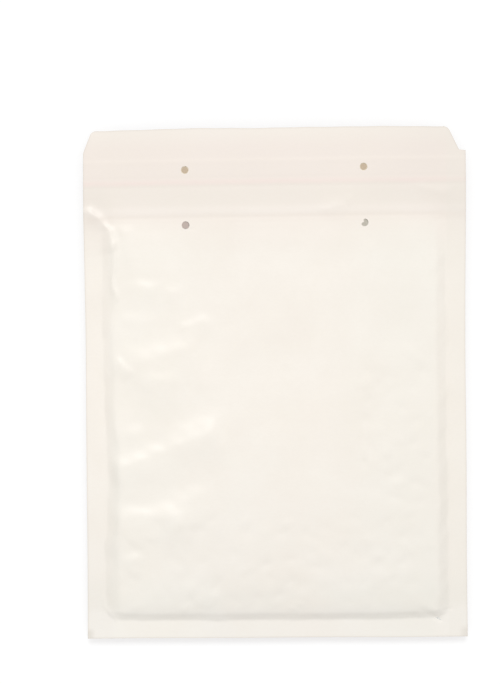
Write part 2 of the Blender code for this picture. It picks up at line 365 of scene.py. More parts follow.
def mouth_lift(x, y):
    """From 0 on the pocket to 1 on the flap: how far the sheets have come up to the flap's level.

    The seams at the sides come up more gently than the middle, the right one most of all.
    """
    side = smooth((x - 85.0) / 25.0) + 0.5 * smooth((-x - 85.0) / 25.0)
    start = LIFT_START - SIDE_LIFT_EARLIER * side
    return smooth((y - start) / (LIFT_LENGTH + SIDE_LIFT_LONGER * side))


def seam_lift(x, y):
    """How far the side seams rise towards the mouth, where they reach the flap's sides."""
    side_level = THICKNESS - FLAP_DROP - FLAP_SIDE_DROP
    return (side_level - FRONT_SEAM - PAPER) * mouth_lift(x, y)


def seam_waves(x, y):
    """Unevenness of the seams, which both sheets share."""
    return 0.12 * waves(x, y, 51, 60, 14, 10)


def bend(x, y):
    """Points moved about a little, so that a fold along straight lines wanders."""
    return x + 0.8 * waves(x, y, 71, 24, 7, 8), y + 0.8 * waves(x, y, 72, 24, 7, 8)


def page_line(line, place, height, width):
    """A ridge or groove straight across the sheet."""
    return height * bell(line - place, width)


def pad_relief(x, y, bent):
    """Dents, puckers and the bubbles' print on the address side."""
    relief = np.zeros_like(x)
    for dents in FRONT_DENTS:
        relief = relief + random_dents(x, y, *dents)
    for points, height, width in FRONT_PUCKERS:
        relief = relief + crease(*bent, points, height, width, 1.0, PUCKER_LEAN)
    pressed = 0.5 + 0.5 * np.tanh(1.2 * waves(x, y, 31, 120, 40, 10))
    return relief + bubble_print(x, y, FRONT_PRINT_HEIGHT) * (0.35 + 0.65 * pressed)


def flap_height(x, y, line):
    """The flap's outer face, with the edges of the strips that show through it."""
    past_mouth = np.maximum(y - MOUTH, 0.0)
    flap = THICKNESS - FLAP_DROP - FLAP_SIDE_DROP * smooth((np.abs(x) - 45.0) / 75.0)
    flap = flap - FLAP_EDGE_DROP * (past_mouth / (TOP - MOUTH)) ** 2
    flap = flap + 0.16 * waves(x, y, 41, 120, 30, 12) * smooth(past_mouth / 20.0)
    flap = flap + 0.05 * smooth((LINER_TOP - line) / 1.5) * smooth((line - LINER_BOTTOM) / 1.5)
    for place, height, width in FLAP_LINES:
        flap = flap + page_line(line, place, height, width)
    return flap


def front_height(x, y):
    """The address side's outer face, with its flap."""
    inset = uneven_inset(x, y, FRONT_SEAM_SEED)
    rise = smooth(inset / SLOPE_WIDTH)
    line = y - LINE_SLANT * x
    bent = bend(x, y)
    pocket = FRONT_SEAM + PAPER + pad_rise(inset, y) + rise * 0.14 * waves(x, y, 11, 90, 28, 16)
    on_pad = rise * smooth((LINING_EDGE + 1.0 - line) / 6.0)
    pocket = pocket + on_pad * pad_relief(x, y, bent)
    surface = pocket + (flap_height(x, y, line) - pocket) * mouth_lift(x, y)
    surface = surface + page_line(line, *LINING_GROOVE) * rise + page_line(line, *MOUTH_RIDGE)
    surface = surface + crease(*bent, *CORNER_FOLD)
    for points, height, width in FRONT_FOLDS:
        surface = surface + crease(*bent, points, height, width, FOLD_SHARPNESS)
    return surface + seam_waves(x, y) * (1.0 - rise)


def back_relief(x, y, inset):
    """How high the back's face stands off the surface: least in the middle, where it rests."""
    relief = 0.12 + 0.1 * waves(x, y, 61, 90, 26, 14)
    relief = relief + 1.6 * np.exp(-np.maximum(inset - 4.0, 0.0) / 9.0)
    relief = relief + random_dents(x, y, *BACK_DENTS)
    relief = relief + 0.5 * BACK_PRINT_HEIGHT - bubble_print(x, y, BACK_PRINT_HEIGHT)
    for points, height, width in FRONT_PUCKERS:
        mirrored = tuple((-px, py * 0.9 + 6) for px, py in points)
        relief = relief + crease(x, y, mirrored, 0.6 * height, width)
    return relief


def back_height(x, y):
    """The back's outer face. Its pad rests on the surface, so nothing on it goes below 0."""
    inset = uneven_inset(x, y, BACK_SEAM_SEED)
    seam = BACK_SEAM - PAPER + seam_waves(x, y) + seam_lift(x, y)
    rise = smooth(inset / SLOPE_WIDTH)
    return np.maximum(seam + (back_relief(x, y, inset) - seam) * rise, 0.0)


def corner_round(y, top):
    """How far the rounded top of a cut corner is set in."""
    to_top = np.maximum(CUT_ROUND - (top - y), 0.0) / CUT_ROUND
    return CUT_ROUND * (1.0 - np.sqrt(np.clip(1.0 - to_top**2, 0.0, 1.0)))


def plain_left(y):
    """Where the left edge of both sheets is at a height on the page."""
    return -HALF_WIDTH + 0.12 * np.sin(y / 23.0) + LEFT_WAIST * smooth((115.0 - y) / 130.0)


def plain_right(y):
    """Where the right edge of both sheets is."""
    return HALF_WIDTH - 0.12 * np.sin(y / 19.0 + 1.0) - RIGHT_WAIST * smooth((135.0 - y) / 90.0)


def left_edge(y):
    """The front sheet's left edge, with the flap's cut corner."""
    top = TOP_EDGE - TOP_LEFT_DROP
    above = np.clip((y - LEFT_CUT_FOOT) / (top - LEFT_CUT_FOOT), 0.0, 1.0)
    return plain_left(y) + LEFT_CUT_WIDTH * above**1.05 + corner_round(y, top)


def right_edge(y):
    """The front sheet's right edge, with the small step below the cut corner."""
    above = np.clip((y - RIGHT_CUT_FOOT) / (TOP_EDGE - RIGHT_CUT_FOOT), 0.0, 1.0)
    step = RIGHT_STEP * smooth((y - RIGHT_CUT_FOOT + 0.6) / 0.6)
    return plain_right(y) - step - RIGHT_CUT_WIDTH * above - corner_round(y, TOP_EDGE)


def bottom_edge(x):
    """The bottom edge of both sheets."""
    return BOTTOM_EDGE - BOTTOM_SLANT * x / HALF_WIDTH + 0.1 * np.sin(x / 17.0)


def top_edge(x):
    """The flap's edge, lower to the left."""
    drop = 0.6 * smooth((50.0 - x) / 60.0) + (TOP_LEFT_DROP - 0.6) * smooth((-55.0 - x) / 55.0)
    return TOP_EDGE - drop + 0.12 * np.sin(x / 9.0) + 0.08 * np.sin(x / 3.7 + 2.0)


def mouth_edge(x):
    """The saw-cut edge of the back sheet."""
    tooth = np.abs((x / SAW_PITCH) % 1.0 - 0.5) * 2.0
    return MOUTH - SAW_DEPTH * tooth


def fit_edges(x, y, left, right, bottom, top, reach=14.0):
    """Moves the outer part of a rectangular grid to the sheet's cut edges."""
    low, high = bottom(x), top(x)
    from_low = np.clip(1.0 - (y - BOTTOM) / reach, 0.0, 1.0)
    y_high = y.max()
    from_high = np.clip(1.0 - (y_high - y) / reach, 0.0, 1.0)
    moved_y = y + (low - BOTTOM) * from_low + (high - y_high) * from_high
    from_left = np.clip(1.0 - (x + HALF_WIDTH) / reach, 0.0, 1.0)
    from_right = np.clip(1.0 - (HALF_WIDTH - x) / reach, 0.0, 1.0)
    shift_left = (left(moved_y) + HALF_WIDTH) * from_left
    shift_right = (right(moved_y) - HALF_WIDTH) * from_right
    return x + shift_left + shift_right, moved_y


def stations(low, high, bands, coarse):
    """Grid lines from low to high: each band (from, to, spacing) is finer than the rest."""
    places = [low]
    while places[-1] < high:
        here = places[-1]
        step = coarse
        for start, end, spacing in bands:
            if start <= here + 1e-6 < end:
                step = min(step, spacing)
            elif here < start:
                step = min(step, max(start - here, 0.05))
        places.append(min(here + step, high))
    if places[-1] - places[-2] < 0.02:
        del places[-2]
    return np.array(places)


def grid_form(across, along, place):
    """A grid of quads. place gives x, y and z of its crossings, in millimetres."""
    grid_x, grid_y = np.meshgrid(across, along)
    x, y, z = place(grid_x, grid_y)
    points = np.stack((x, y, z), axis=-1).reshape(-1, 3) * MM
    form = bmesh.new()
    verts = [form.verts.new(point) for point in points.tolist()]
    columns = len(across)
    for row in range(len(along) - 1):
        for column in range(columns - 1):
            a = row * columns + column
            corners = (a, a + 1, a + columns + 1, a + columns)
            form.faces.new([verts[index] for index in corners])
    return form


def punch_hole(form, centre, height, radius=HOLE_RADIUS, scrap=0.0):
    """Cuts a round hole into a fine grid, and fills in between the grid and the circle.

    With scrap above 0, paper is left standing into the hole by that share of its radius.
    """
    x0, y0 = centre
    inside = []
    for face in form.faces:
        middle = face.calc_center_median() / MM
        if abs(middle.x - x0) < HOLE_PATCH and abs(middle.y - y0) < HOLE_PATCH:
            inside.append(face)
    rim = set()
    for face in inside:
        for edge in face.edges:
            if any(other not in inside for other in edge.link_faces):
                rim.add(edge)
    bmesh.ops.delete(form, geom=inside, context="FACES")
    angles = np.arange(HOLE_SIDES) * math.tau / HOLE_SIDES
    reach = radius * (1.0 - scrap * bell(angles - SCRAP_ANGLE, SCRAP_SPREAD))
    x = x0 + reach * np.cos(angles)
    y = y0 + reach * np.sin(angles)
    points = np.stack((x, y, height(x, y)), axis=-1) * MM
    circle = [form.verts.new(point) for point in points.tolist()]
    edges = [form.edges.new((circle[i - 1], circle[i])) for i in range(HOLE_SIDES)]
    bmesh.ops.triangle_fill(
        form, use_beauty=True, use_dissolve=False, edges=edges + list(rim), normal=(0, 0, 1)
    )


def new_piece(name, form, material):
    """Makes an object of a form, and gives it its material."""
    mesh = bpy.data.meshes.new(name)
    form.normal_update()
    form.to_mesh(mesh)
    form.free()
    piece = bpy.data.objects.new(name, mesh)
    bpy.context.scene.collection.objects.link(piece)
    mesh.materials.append(material)
    return piece


def thicken(piece, thickness, upwards):
    """Makes a sheet of a surface, and smooths it but for its cut edges."""
    solid = piece.modifiers.new("thickness", "SOLIDIFY")
    solid.thickness = thickness * MM
    solid.offset = 1.0 if upwards else -1.0
    graph = bpy.context.evaluated_depsgraph_get()
    mesh = bpy.data.meshes.new_from_object(piece.evaluated_get(graph))
    piece.modifiers.clear()
    piece.data = mesh
    mesh.shade_smooth()
    mesh.set_sharp_from_angle(angle=PAPER_SHARP_FROM)


class Nodes:
    """A material's node tree, built one node at a time."""

    def __init__(self, name):
        self.material = bpy.data.materials.new(name)
        self.material.use_nodes = True
        self.tree = self.material.node_tree
        self.shader = self.tree.nodes["Principled BSDF"]

    def add(self, kind, inputs=None, **settings):
        node = self.tree.nodes.new(kind)
        for name, value in settings.items():
            setattr(node, name, value)
        for name, value in (inputs or {}).items():
            self.feed(node.inputs[name], value)
        return node

    def feed(self, socket, value):
        if isinstance(value, bpy.types.NodeSocket):
            self.tree.links.new(value, socket)
        else:
            socket.default_value = value

    def set(self, **values):
        for name, value in values.items():
            self.feed(self.shader.inputs[name.replace("_", " ")], value)

    def math(self, operation, first, second=0.0):
        node = self.add("ShaderNodeMath", {0: first, 1: second}, operation=operation)
        return node.outputs[0]

    def mix(self, share, first, second):
        """The first colour where share is 0, and the second where it is 1."""
        node = self.add("ShaderNodeMix", data_type="RGBA")
        self.feed(node.inputs[0], share)
        self.feed(node.inputs[6], first)
        self.feed(node.inputs[7], second)
        return node.outputs[2]

    def place(self):
        coordinates = self.add("ShaderNodeTexCoord")
        return coordinates.outputs["Object"]

    def noise(self, place, scale, detail=2.0, stretch=None):
        if stretch is not None:
            place = self.add("ShaderNodeMapping", {"Vector": place, "Scale": stretch}).outputs[0]
        inputs = {"Vector": place, "Scale": scale, "Detail": detail}
        return self.add("ShaderNodeTexNoise", inputs).outputs[0]

    def spread(self, value, low, high, to_low, to_high):
        """Maps low to high onto to_low to to_high, and holds the ends outside it."""
        inputs = {"Value": value, "From Min": low, "From Max": high}
        inputs.update({"To Min": to_low, "To Max": to_high})
        return self.add("ShaderNodeMapRange", inputs).outputs[0]

    def bump(self, height, distance, strength=1.0, normal=None):
        inputs = {"Height": height, "Distance": distance, "Strength": strength}
        if normal is not None:
            inputs["Normal"] = normal
        return self.add("ShaderNodeBump", inputs).outputs[0]

    def inside(self, value, low, high, soft):
        """1 between low and high and 0 outside, with edges that fade over soft."""
        rising = self.spread(value, low - soft, low + soft, 0.0, 1.0)
        falling = self.spread(value, high - soft, high + soft, 1.0, 0.0)
        return self.math("MULTIPLY", rising, falling)

    def area(self, axes, x_range, y_range, soft):
        """1 inside a rectangle of the page and 0 outside, with edges that fade over soft."""
        across = self.inside(axes.outputs[0], *x_range, soft)
        along = self.inside(axes.outputs[1], *y_range, soft)
        return self.math("MULTIPLY", across, along)


def linear(red, green, blue):
    """A display colour from 0 to 255 as the linear colour that shaders take."""
    values = []
    for value in (red, green, blue):
        share = value / 255
        values.append(share / 12.92 if share <= 0.04045 else ((share + 0.055) / 1.055) ** 2.4)
    return (*values, 1.0)


# Tones of the white paper, by what lies behind it, and painted shade: the pad gets darker towards
# its bottom, and the mouth has a darker line, partly the lining's end showing through, with a
# painted highlight just above it.
SEAM_TONE = (243, 239, 232)
SHADED_LOW_PAD_TONE = (239, 235, 227)
SHADED_LOWER_PAD_TONE = (243, 238, 230)
PAD_TONE = (249, 243, 234)
PAD_TOP_TONE = (246, 238, 229)
LINING_EDGE_SHADE_TONE = (242, 233, 224)
MOUTH_RIDGE_HIGHLIGHT_TONE = (244, 236, 228)
SINGLE_SHEET_TONE = (240, 232, 223)
TAPE_TONE = (243, 228, 221)
LINER_TONE = (241, 231, 223)
LINER_EDGE_TONE = (243, 233, 224)
FLAP_EDGE_TONE = (243, 236, 227)
BACK_TONE = (243, 235, 226)
BACK_BAND_TONE = (238, 229, 216)

# Where each tone is, from the bottom edge to the flap's edge.
FRONT_TONES = (
    (-160, SEAM_TONE),
    (-144, SEAM_TONE),
    # Painted shade: darker towards the bottom of the pad.
    (-139, SHADED_LOW_PAD_TONE),
    (-132, SHADED_LOW_PAD_TONE),
    (-119, SHADED_LOWER_PAD_TONE),
    (-20, PAD_TONE),
    (80, PAD_TONE),
    (100, PAD_TOP_TONE),
    # A darker line of painted shade where the lining ends, and a painted highlight above it.
    (103.2, LINING_EDGE_SHADE_TONE),
    (104.8, LINING_EDGE_SHADE_TONE),
    (107.2, MOUTH_RIDGE_HIGHLIGHT_TONE),
    (113, SINGLE_SHEET_TONE),
    (124.5, SINGLE_SHEET_TONE),
    (125.3, TAPE_TONE),
    (126.9, TAPE_TONE),
    (128.2, LINER_TONE),
    (138.5, LINER_TONE),
    (139.6, LINER_EDGE_TONE),
    (141, LINER_TONE),
    (148, LINER_TONE),
    (160, FLAP_EDGE_TONE),
)

# The same for the back, up to the mouth.
BACK_TONES = (
    (-160, BACK_TONE),
    (79, BACK_TONE),
    (81, BACK_BAND_TONE),
    (94, BACK_BAND_TONE),
    (96, BACK_TONE),
    (114, BACK_TONE),
)

CLOUD_TONE = (240, 232, 221)
FIBRE_TONE = (232, 222, 210)
PAPER_ROUGHNESS = 0.42

# How much of a darker tone the cut edges and the slopes at the sides take, as painted shade. The
# edges' painted shade fades over the reach given below, in millimetres.
EDGE_SHADE_SHARE = 0.5
EDGE_SHADE_TONE = (214, 206, 196)
EDGE_SHADE_REACH = 0.45
# Painted shade on the slopes at the sides of the pad.
SLOPE_SHADE_SHARE = 0.16
SLOPE_SHADE_TONE = (230, 227, 217)

# Spots that show through at the lower corners: x and y ranges in metres, softness, share, tone.
CORNER_SPOTS = (
    ((0.1155, 0.1215), (-0.1620, -0.1545), 0.0018, 0.32, (196, 188, 178)),
    ((-0.1215, -0.1160), (-0.1620, -0.1545), 0.0015, 0.3, (196, 190, 178)),
)
# Tones that come in across the sheet: x from and to in metres, share from and to, tone.
RIGHT_MARGIN = ((0.1070, 0.1082, 0.0, 0.28), (236, 231, 221))
RIGHT_FLAP = ((0.045, 0.100, 0.0, 0.22), (230, 222, 213))
# Painted shade over the right of the pad, and a painted sheen over its left.
RIGHT_PAD_SHADE = ((0.030, 0.080, 0.0, 0.18), (234, 235, 225))
LEFT_PAD_SHEEN = ((-0.085, -0.030, 0.2, 0.0), (251, 249, 239))
# Where the flap's tone comes in and the pad's goes out along the sheet, and the pad's sides.
FLAP_FROM = (0.100, 0.112)
PAD_UP_TO = (0.094, 0.106)
PAD_ACROSS = (-0.103, 0.100, 0.003)

# The print on the back, in metres: a plain square, and a block of even bars.
INK_TONE = (18, 19, 21)
INK_EDGE = 0.0001
SQUARE = ((0.1150, 0.1197), (-0.1588, -0.1512))
BAR_BLOCK = ((0.064, 0.098), (-0.138, -0.121))
BAR_WAVE = 0.0016
WIDE_BAR_WAVE = 0.0093

FILM_ALPHA = 0.45


def paper_nodes(name, tones):
    """White paper: tones that show through, some of them painted shade and painted highlight, faint
    clouding, fibres and a light calendered gloss.
    """
    nodes = Nodes(name)
    place = nodes.place()
    axes = nodes.add("ShaderNodeSeparateXYZ", {0: place})
    along = axes.outputs[1]
    wobble = nodes.noise(place, 60.0, 2.0)
    shifted = nodes.math("ADD", along, nodes.spread(wobble, 0.0, 1.0, -0.0008, 0.0008))
    slanted = nodes.math("MULTIPLY", axes.outputs[0], -LINE_SLANT)
    shifted = nodes.math("ADD", shifted, slanted)
    low, high = BOTTOM * MM, TOP * MM
    ramp = nodes.add("ShaderNodeValToRGB", {0: nodes.spread(shifted, low, high, 0.0, 1.0)})
    stops = ramp.color_ramp.elements
    while len(stops) < len(tones):
        stops.new(0.5)
    for stop, (height, tone) in zip(stops, tones):
        stop.position = (height - BOTTOM) / (TOP - BOTTOM)
        stop.color = linear(*tone)
    cloud = nodes.noise(place, 28.0, 3.0)
    colour = nodes.mix(
        nodes.spread(cloud, 0.35, 0.7, 0.0, 0.35), ramp.outputs[0], linear(*CLOUD_TONE)
    )
    fibre = nodes.noise(place, 900.0, 4.0, stretch=(0.45, 1.0, 1.0))
    speck = nodes.spread(fibre, 0.3, 0.75, 0.0, 0.10)
    colour = nodes.mix(speck, colour, linear(*FIBRE_TONE))
    return nodes, place, axes, colour


def paint_edge_and_slope_shade(nodes, colour):
    """Painted shade: the cut edges, and the slopes at the sides, are made a little darker than the
    sheet.
    """
    # Both attributes carry painted shade: edge near the cut edges, shade on the slopes.
    edge = nodes.add("ShaderNodeAttribute", attribute_name="edge").outputs["Fac"]
    shade = nodes.add("ShaderNodeAttribute", attribute_name="shade").outputs["Fac"]
    colour = nodes.mix(nodes.math("MULTIPLY", shade, SLOPE_SHADE_SHARE), colour, linear(*SLOPE_SHADE_TONE))
    return nodes.mix(nodes.math("MULTIPLY", edge, EDGE_SHADE_SHARE), colour, linear(*EDGE_SHADE_TONE))


def slope_shade(x, y):
    """How much painted shade the slopes get: about 1 on the lower slopes at the sides of the pad,
    less on the right one's upper part.
    """
    inset = uneven_inset(x, y, FRONT_SEAM_SEED)
    on_slope = smooth(inset / 1.2) * (1.0 - smooth((inset - 5.0) / 4.0))
    above_bottom = smooth((y - PAD_BOTTOM - 2.0) / 6.0)
    lower = smooth((30.0 - y) / 80.0)
    right = 0.7 * smooth((94.0 - y) / 14.0) + 0.45 * lower
    left = 0.9 * lower
    sides = right * smooth((x - 85.0) / 10.0) + left * smooth((-x - 85.0) / 10.0)
    return on_slope * above_bottom * sides


def mark_sheet(piece, left, right, bottom, top):
    """Notes on each vertex how near it is to the cut edge and to the slopes, for the material's
    painted shade.
    """
    mesh = piece.data
    points = np.empty(len(mesh.vertices) * 3)
    mesh.vertices.foreach_get("co", points)
    x, y = points.reshape(-1, 3)[:, :2].T / MM
    distance = np.minimum.reduce([x - left(y), right(y) - x, y - bottom(x), top(x) - y])
    # Painted shade that fades in from the cut edges.
    edge = mesh.attributes.new("edge", "FLOAT", "POINT")
    edge.data.foreach_set("value", np.exp(-np.maximum(distance, 0.0) / EDGE_SHADE_REACH))
    shade = mesh.attributes.new("shade", "FLOAT", "POINT")
    shade.data.foreach_set("value", slope_shade(x, y))


def finish_paper(nodes, place, colour):
    """Roughness and relief that all the paper shares."""
    patchy = nodes.noise(place, 45.0, 3.0)
    roughness = nodes.spread(patchy, 0.3, 0.7, PAPER_ROUGHNESS - 0.06, PAPER_ROUGHNESS + 0.08)
    grain = nodes.noise(place, 2200.0, 3.0, stretch=(0.6, 1.0, 1.0))
    felt = nodes.noise(place, 320.0, 3.0)
    relief = nodes.bump(felt, 0.00006, 0.5)
    relief = nodes.bump(grain, 0.000022, 0.6, relief)
    nodes.set(Base_Color=colour, Roughness=roughness, Normal=relief)
    nodes.shader.inputs["Specular IOR Level"].default_value = 0.5
    return nodes.material


def front_paper_material():
    """The address side's paper, whose tones also change from left to right, with a painted sheen on
    the pad's left and painted shade on its right.
    """
    nodes, place, axes, colour = paper_nodes("front_paper", FRONT_TONES)
    across, along = axes.outputs[0], axes.outputs[1]
    for x_range, y_range, soft, share, tone in CORNER_SPOTS:
        spot = nodes.area(axes, x_range, y_range, soft)
        colour = nodes.mix(nodes.math("MULTIPLY", spot, share), colour, linear(*tone))
    on_flap = nodes.spread(along, *FLAP_FROM, 0.0, 1.0)
    below_mouth = nodes.spread(along, *PAD_UP_TO, 1.0, 0.0)
    on_pad = nodes.math("MULTIPLY", nodes.inside(across, *PAD_ACROSS), below_mouth)
    for side, where in (
        (RIGHT_MARGIN, 1.0), (RIGHT_FLAP, on_flap), (RIGHT_PAD_SHADE, on_pad), (LEFT_PAD_SHEEN, on_pad),
    ):
        ramp, tone = side
        share = nodes.math("MULTIPLY", nodes.spread(across, *ramp), where)
        colour = nodes.mix(share, colour, linear(*tone))
    return finish_paper(nodes, place, paint_edge_and_slope_shade(nodes, colour))


def back_paper_material():
    """The back's paper, with a plain black square and a block of plain bars printed on it."""
    nodes, place, axes, colour = paper_nodes("back_paper", BACK_TONES)
    across, up = axes.outputs[0], axes.outputs[2]
    bar_wave = nodes.math("SINE", nodes.math("MULTIPLY", across, math.tau / BAR_WAVE))
    wide_wave = nodes.math("SINE", nodes.math("MULTIPLY", across, math.tau / WIDE_BAR_WAVE))
    bars = nodes.math("ADD", bar_wave, nodes.math("MULTIPLY", wide_wave, 0.7))
    bars = nodes.spread(bars, 0.15, 0.35, 0.0, 1.0)
    bars = nodes.math("MULTIPLY", bars, nodes.area(axes, *BAR_BLOCK, INK_EDGE))
    ink = nodes.math("MAXIMUM", nodes.area(axes, *SQUARE, INK_EDGE), bars)
    outer_face = nodes.math("LESS_THAN", up, (BACK_SEAM - PAPER / 2) * MM)
    colour = nodes.mix(nodes.math("MULTIPLY", ink, outer_face), colour, linear(*INK_TONE))
    return finish_paper(nodes, place, paint_edge_and_slope_shade(nodes, colour))


def coated_material(name, grain, tones, roughness, relief, gloss_grain=(), relief_grain=()):
    """A glossy strip or film, clouded or streaked between two tones.

    A grain is the scale of a noise, its detail, and its stretch where it makes streaks. The
    roughness and the relief, a depth and a strength, follow the first grain or one of their own.
    """
    nodes = Nodes(name)
    place = nodes.place()
    cloud = nodes.noise(place, *grain)
    gloss = nodes.noise(place, *gloss_grain) if gloss_grain else cloud
    height = nodes.noise(place, *relief_grain) if relief_grain else cloud
    share = nodes.spread(cloud, 0.3, 0.7, 0.0, 1.0)
    nodes.set(Base_Color=nodes.mix(share, linear(*tones[0]), linear(*tones[1])))
    nodes.set(Roughness=nodes.spread(gloss, 0.3, 0.7, *roughness))
    nodes.set(Normal=nodes.bump(height, *relief))
    return nodes


def tape_material():
    """Satin red tape, with streaks along its length."""
    grain = (400.0, 3.0, (0.1, 1.0, 1.0))
    tones = ((198, 24, 28), (218, 44, 48))
    return coated_material(
        "red_tape", grain, tones, (0.26, 0.42), (0.00003, 0.5), gloss_grain=(90.0,)
    ).material


def liner_material():
    """Glossy silicone-coated paper, faintly clouded."""
    tones = ((238, 231, 220), (230, 221, 208))
    return coated_material(
        "release_liner", (60.0, 3.0), tones, (0.22, 0.34), (0.00003, 0.5), (120.0,), (700.0, 3.0)
    ).material


def glue_material():
    """A glossy coat of adhesive, streaked along the strip."""
    grain = (260.0, 3.0, (0.15, 1.0, 1.0))
    tones = ((226, 214, 186), (238, 229, 206))
    return coated_material("adhesive", grain, tones, (0.12, 0.3), (0.00006, 0.7)).material


def film_material():
    """Clear bubble film: glossy, nearly colourless, with fine stretch marks."""
    grain = (180.0, 3.0, (0.2, 1.0, 1.0))
    tones = ((232, 236, 236), (246, 248, 248))
    nodes = coated_material("bubble_film", grain, tones, (0.08, 0.2), (0.00005, 0.5))
    nodes.shader.inputs["Alpha"].default_value = FILM_ALPHA
    return nodes.material


def hole_bands(spacing):
    """Bands of finer grid lines across the holes, for stations."""
    low, high = HOLE_BAND
    return (-high, -low, spacing), (low, high, spacing)


def make_front_paper():
    """The address side with the flap. Its grid is finer at the seams, the lines and the holes."""
    across = stations(-HALF_WIDTH, HALF_WIDTH, (
        (-HALF_WIDTH, -97.0, 0.8), *hole_bands(0.9), (97.0, HALF_WIDTH, 0.8),
    ), 1.7)
    along = stations(BOTTOM, TOP, (
        (BOTTOM, -138.0, 0.8), (95.0, 112.0, 0.75), (122.5, 143.0, 0.8),
        (144.5, 146.0, 0.25), (155.0, TOP, 0.45),
    ), 1.7)

    def place(x, y):
        x, y = fit_edges(x, y, left_edge, right_edge, bottom_edge, top_edge)
        return x, y, front_height(x, y)

    form = grid_form(across, along, place)
    for centre in FLAP_HOLES + POCKET_HOLES[:1]:
        punch_hole(form, centre, front_height)
    punch_hole(form, POCKET_HOLES[1], front_height, scrap=SCRAP_REACH)
    piece = new_piece("front_paper", form, front_paper_material())
    thicken(piece, PAPER, upwards=False)
    mark_sheet(piece, left_edge, right_edge, bottom_edge, top_edge)
    return piece


def make_back_paper():
    """The back, up to its saw-cut edge at the mouth."""
    across = stations(-HALF_WIDTH, HALF_WIDTH, ((-HALF_WIDTH, HALF_WIDTH, 1.0),), 1.0)
    along = stations(BOTTOM, MOUTH, (
        (BOTTOM, -138.0, 0.9), (95.0, 103.0, 0.9), (112.0, MOUTH, 0.5),
    ), 2.2)

    def place(x, y):
        x, y = fit_edges(x, y, plain_left, plain_right, bottom_edge, mouth_edge, 3.0)
        return x, y, back_height(x, y)

    form = grid_form(across, along, place)
    for centre in BACK_HOLES:
        punch_hole(form, centre, back_height, BACK_HOLE_RADIUS)
    piece = new_piece("back_paper", form, back_paper_material())
    thicken(piece, PAPER, upwards=True)
    mark_sheet(piece, plain_left, plain_right, bottom_edge, mouth_edge)
    return piece


def flap_strip(name, strip, material, holes=(), radius=HOLE_RADIUS):
    """A strip stuck along the flap's inside, which follows the paper."""
    low, high, margin, below, thickness = strip
    half = HALF_WIDTH - margin

    def height(x, y):
        return front_height(x, y) - PAPER - below

    def place(x, y):
        y = y + LINE_SLANT * x
        return x, y, height(x, y)

    across = stations(-half, half, hole_bands(STRIP_SPACING), 2.0)
    along = stations(low, high, (), STRIP_SPACING)
    form = grid_form(across, along, place)
    for centre in holes:
        punch_hole(form, centre, height, radius)
    piece = new_piece(name, form, material)
    thicken(piece, thickness, upwards=False)
    return piece


def film_level(x, y, inner):
    """The flat film of a lining: level beside the pocket, and closing to the seams at the sides."""
    opening = smooth((pad_inset(x, y) - 2.0) / 34.0)
    seam = SEAM_MIDDLE + seam_lift(x, y)
    level = seam + (inner - seam) * opening
    level = level + (FILM_OFF_POCKET if inner > SEAM_MIDDLE else -FILM_OFF_POCKET)
    lowest = back_height(x, y) + PAPER + FILM_CLEARANCE
    highest = front_height(x, y) - PAPER - FILM_CLEARANCE
    return np.maximum(np.minimum(level, highest), lowest)


def bubble_room(x, y, inner):
    """The heights that bubbles have between their film and the paper, at their middle and rim."""
    base = film_level(x, y, inner)
    reach = BUBBLE_RADIUS
    rooms = []
    for dx, dy in ((0.0, 0.0), (reach, 0.0), (-reach, 0.0), (0.0, reach), (0.0, -reach)):
        if inner > SEAM_MIDDLE:
            rooms.append(front_height(x + dx, y + dy) - PAPER - base)
        else:
            rooms.append(base - back_height(x + dx, y + dy) - PAPER)
    return np.min(rooms, axis=0)


def bubble_places(top):
    """Centres of the bubbles, in staggered rows, clear of the seams and the holes."""
    places = []
    row = math.ceil((PAD_BOTTOM + SLOPE_WIDTH) / BUBBLE_ROW)
    while row * BUBBLE_ROW < top - BUBBLE_RADIUS:
        offset = (row % 2) * BUBBLE_PITCH / 2
        column = math.ceil((-PAD_HALF + SLOPE_WIDTH - offset) / BUBBLE_PITCH)
        while column * BUBBLE_PITCH + offset < PAD_HALF - SLOPE_WIDTH:
            x, y = column * BUBBLE_PITCH + offset, row * BUBBLE_ROW
            inset = pad_inset(np.array([x]), np.array([y]))[0]
            to_hole = min(math.hypot(x - hole_x, y - hole_y) for hole_x, hole_y in POCKET_HOLES)
            if inset > SLOPE_WIDTH + 2.0 and to_hole >= BUBBLE_RADIUS + BUBBLE_TO_HOLE:
                places.append((x, y))
            column += 1
        row += 1
    return np.array(places)


def add_bubble(form, x, y, base, height):
    """One air bubble: a closed round blister with a nearly flat top, whose base is in the film."""
    previous = None
    for reach, share in BUBBLE_PROFILE:
        radius = BUBBLE_RADIUS * reach
        ring = []
        for step in range(BUBBLE_SIDES):
            angle = math.tau * step / BUBBLE_SIDES
            across, along = x + radius * math.cos(angle), y + radius * math.sin(angle)
            point = (across, along, base + height * share)
            ring.append(form.verts.new([value * MM for value in point]))
        if previous is None:
            form.faces.new(ring)
        else:
            for step in range(BUBBLE_SIDES):
                following = (step + 1) % BUBBLE_SIDES
                form.faces.new((previous[step], previous[following], ring[following], ring[step]))
        previous = ring
    form.faces.new(previous)


def add_bubbles(piece, inner, outwards, top):
    """Sets the bubbles on a film, each as deep as the room to the paper lets it be."""
    form = bmesh.new()
    form.from_mesh(piece.data)
    x, y = bubble_places(top).T
    bases = film_level(x, y, inner) + FILM / 2 * outwards
    room = bubble_room(x, y, inner) - BUBBLE_CLEARANCE
    heights = np.clip(room, BUBBLE_LEAST_DEPTH, BUBBLE_DEPTH) * outwards
    for bubble in zip(x.tolist(), y.tolist(), bases.tolist(), heights.tolist()):
        add_bubble(form, *bubble)
    bmesh.ops.recalc_face_normals(form, faces=form.faces[:])
    form.to_mesh(piece.data)
    form.free()
    piece.data.shade_smooth()
    piece.data.set_sharp_from_angle(angle=FILM_SHARP_FROM)


